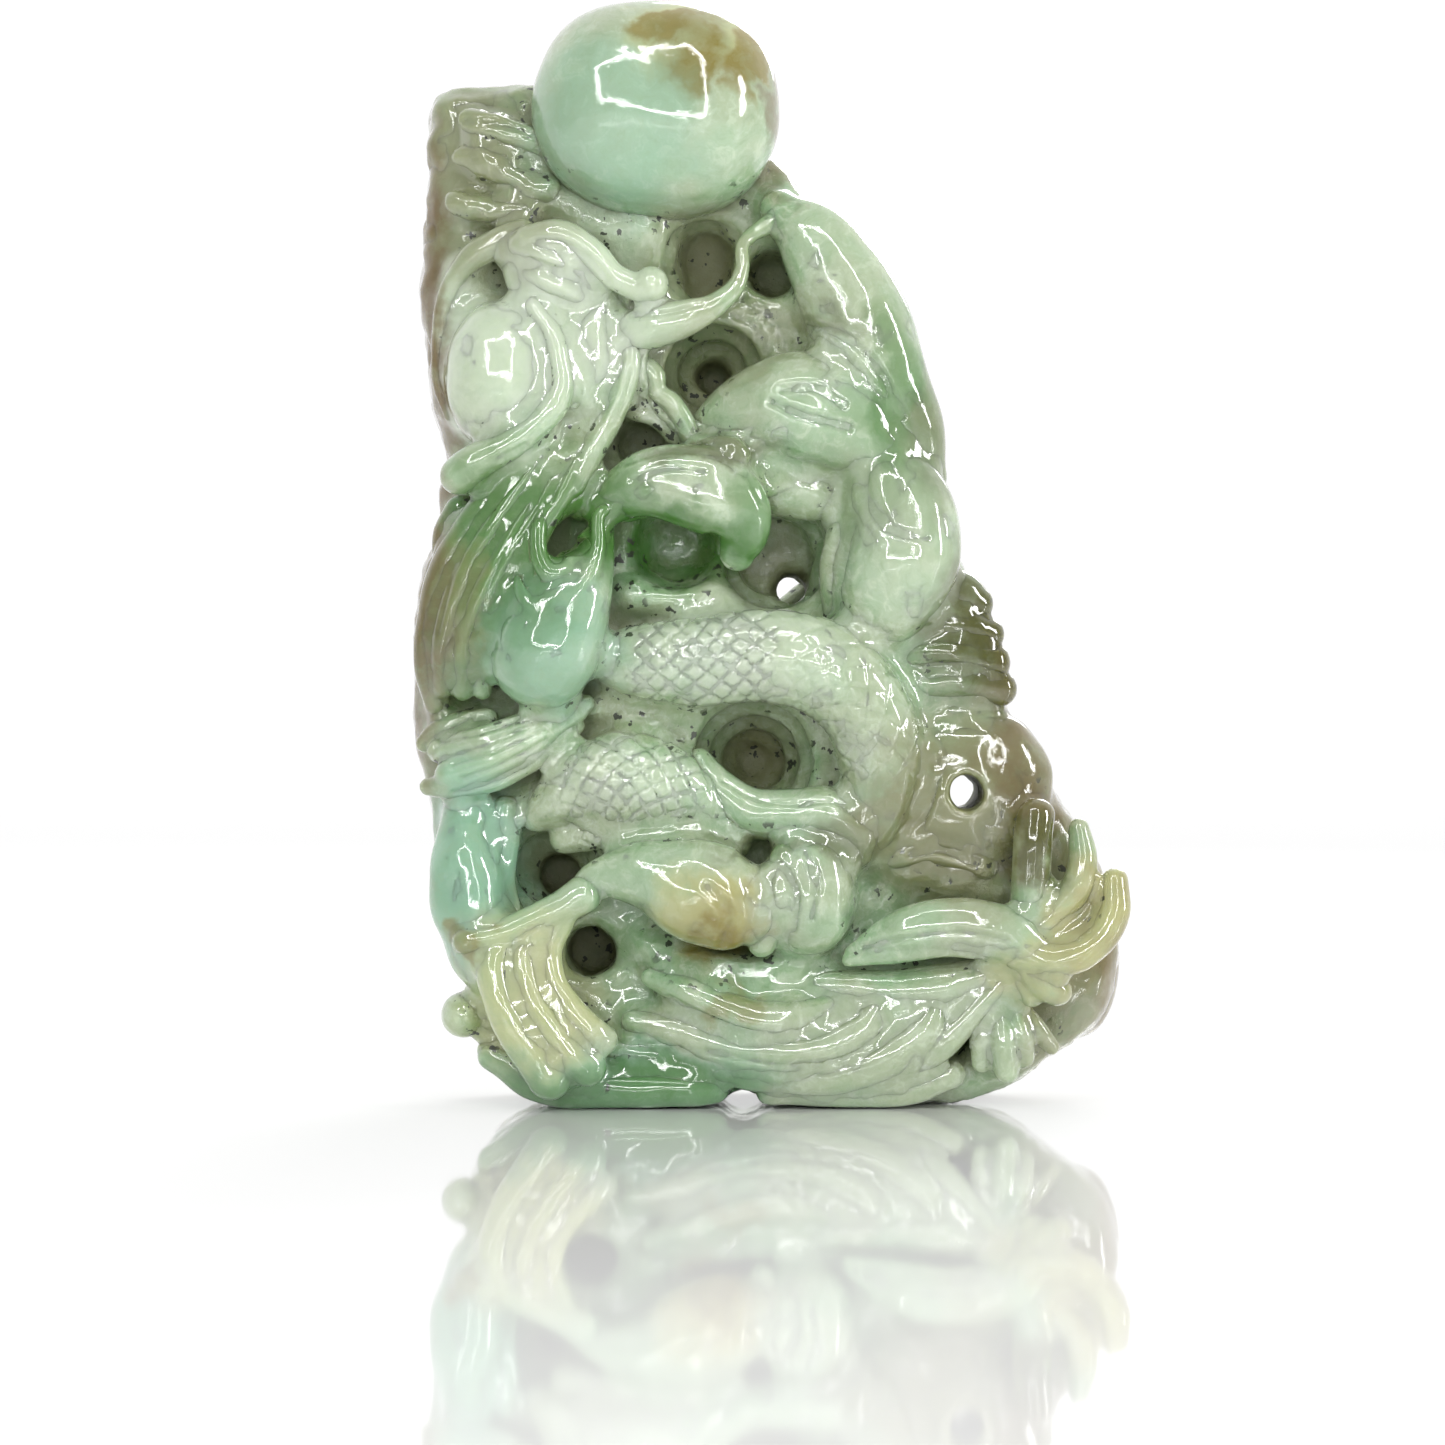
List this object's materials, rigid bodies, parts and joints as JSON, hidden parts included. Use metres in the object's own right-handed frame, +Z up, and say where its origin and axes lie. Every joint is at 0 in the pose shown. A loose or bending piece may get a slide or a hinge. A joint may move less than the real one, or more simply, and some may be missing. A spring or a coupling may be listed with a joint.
{
  "type": "jade figurine",
  "caption": "Upright translucent jade carving of a coiled dragon with a large round pearl on top, clawed feet and scaled coils among clouds and waves, standing on a flat foot.",
  "frame": {"origin": "centre of the flat foot that the carving stands on", "axes": "+Z up, from the foot to the pearl; -Y the carved front; +X to the viewer's right"},
  "size_m": [0.0399, 0.018, 0.062],
  "materials": {
    "jade_pearl": "polished translucent jadeite, pale aqua green with a brown skin patch",
    "jade_ground": "translucent grayish jadeite, ground and half polished, brown towards the rim",
    "jade_green": "polished translucent jadeite, apple green veins",
    "jade_honey": "polished translucent jadeite, pale honey yellow",
    "jade_brown": "polished translucent jadeite, olive brown skin",
    "jade_cream": "polished translucent jadeite, near white",
    "jade_pale": "polished translucent jadeite, pale mint"
  },
  "bodies": {
    "root": {"back_cloud_1": "jade_ground", "back_cloud_2": "jade_ground", "back_cloud_3": "jade_ground", "back_coil": "jade_ground", "brow_crescent": "jade_cream", "cheek_lobe": "jade_cream", "cloud_disc": "jade_ground", "cloud_plaque": "jade_pale", "coil_turn": "jade_pale", "ear_scroll": "jade_green", "ear_tab": "jade_green", "forearm": "jade_pale", "head_crest": "jade_cream", "head_dome": "jade_cream", "knee": "jade_pale", "knob_left": "jade_pale", "left_fin": "jade_green", "left_spur": "jade_honey", "left_toe_1": "jade_honey", "left_toe_2": "jade_honey", "left_toe_3": "jade_honey", "lower_coil": "jade_pale", "mane": "jade_green", "mane_fringe": "jade_cream", "middle_coil": "jade_pale", "pearl": "jade_pearl", "right_claw_1": "jade_honey", "right_claw_2": "jade_honey", "right_claw_3": "jade_honey", "right_claw_4": "jade_honey", "rock_peak": "jade_ground", "rump": "jade_green", "scaled_coil": "jade_pale", "scaled_flank": "jade_pale", "side_flame_1": "jade_brown", "side_flame_2": "jade_brown", "side_flame_3": "jade_brown", "skull": "jade_cream", "small_paw": "jade_pale", "snout": "jade_green", "stone_slab": "jade_ground", "tail_fin": "jade_pale", "thigh": "jade_pale", "upper_coil": "jade_pale", "wave_left": "jade_pale", "wave_right": "jade_pale", "whisker_ribbon": "jade_cream"}
  },
  "joints": []
}
